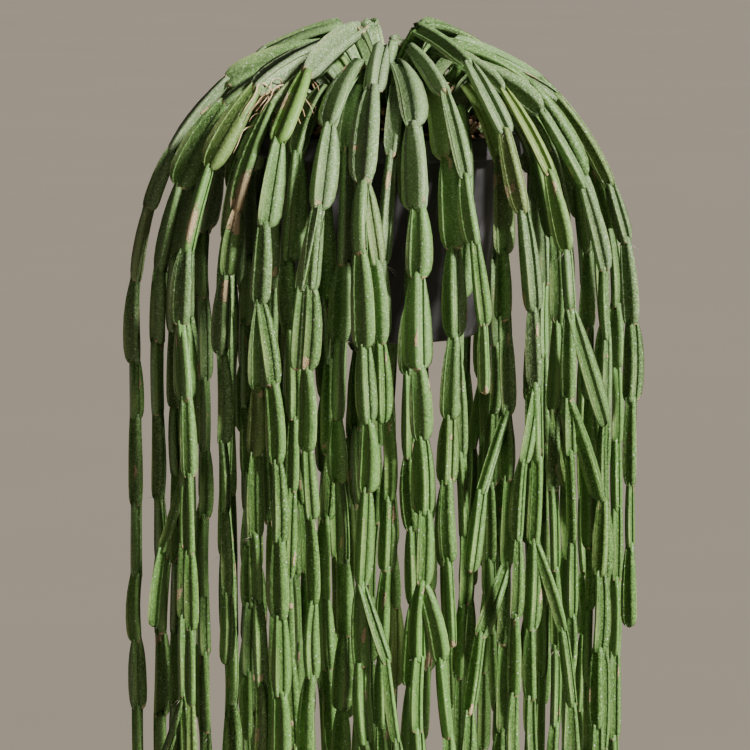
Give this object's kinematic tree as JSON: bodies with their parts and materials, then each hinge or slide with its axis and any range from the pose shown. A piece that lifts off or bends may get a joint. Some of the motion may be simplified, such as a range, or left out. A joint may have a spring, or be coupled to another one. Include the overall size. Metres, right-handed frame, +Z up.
{
  "type": "rhipsalis in hanging pot",
  "caption": "Chain cactus with jointed three-winged stems that arch out of a dark plastic hanging pot and trail far below it on every side.",
  "frame": {"origin": "centre of the pot's rim plane, where a clip-on hanger holds it", "axes": "+Z up, -Y towards the front of the plant, +X to the right seen from the front"},
  "size_m": [0.2895, 0.2854, 0.5202],
  "materials": {
    "pot_plastic": "matte",
    "potting_mix": "matte",
    "stem_skin": "satin"
  },
  "bodies": {
    "root": {"pot": "pot_plastic", "potting_mix": "potting_mix", "stem_01": "stem_skin", "stem_02": "stem_skin", "stem_03": "stem_skin", "stem_04": "stem_skin", "stem_05": "stem_skin", "stem_06": "stem_skin", "stem_07": "stem_skin", "stem_08": "stem_skin", "stem_09": "stem_skin", "stem_10": "stem_skin", "stem_11": "stem_skin", "stem_12": "stem_skin", "stem_13": "stem_skin", "stem_14": "stem_skin", "stem_15": "stem_skin", "stem_16": "stem_skin", "stem_17": "stem_skin", "stem_18": "stem_skin", "stem_19": "stem_skin", "stem_20": "stem_skin", "stem_21": "stem_skin", "stem_22": "stem_skin", "stem_23": "stem_skin", "stem_24": "stem_skin", "stem_25": "stem_skin", "stem_26": "stem_skin", "stem_27": "stem_skin", "stem_28": "stem_skin", "stem_29": "stem_skin", "stem_30": "stem_skin", "stem_31": "stem_skin", "stem_32": "stem_skin", "stem_33": "stem_skin", "stem_34": "stem_skin", "stem_35": "stem_skin", "stem_36": "stem_skin", "stem_37": "stem_skin", "stem_38": "stem_skin", "stem_39": "stem_skin", "stem_40": "stem_skin", "stem_41": "stem_skin", "stem_42": "stem_skin", "stem_43": "stem_skin", "stem_44": "stem_skin", "stem_45": "stem_skin", "stem_46": "stem_skin", "stem_47": "stem_skin", "stem_48": "stem_skin", "stem_49": "stem_skin", "stem_50": "stem_skin", "stem_51": "stem_skin", "stem_52": "stem_skin", "stem_53": "stem_skin", "stem_54": "stem_skin", "stem_55": "stem_skin", "stem_56": "stem_skin", "stem_57": "stem_skin"}
  },
  "joints": []
}
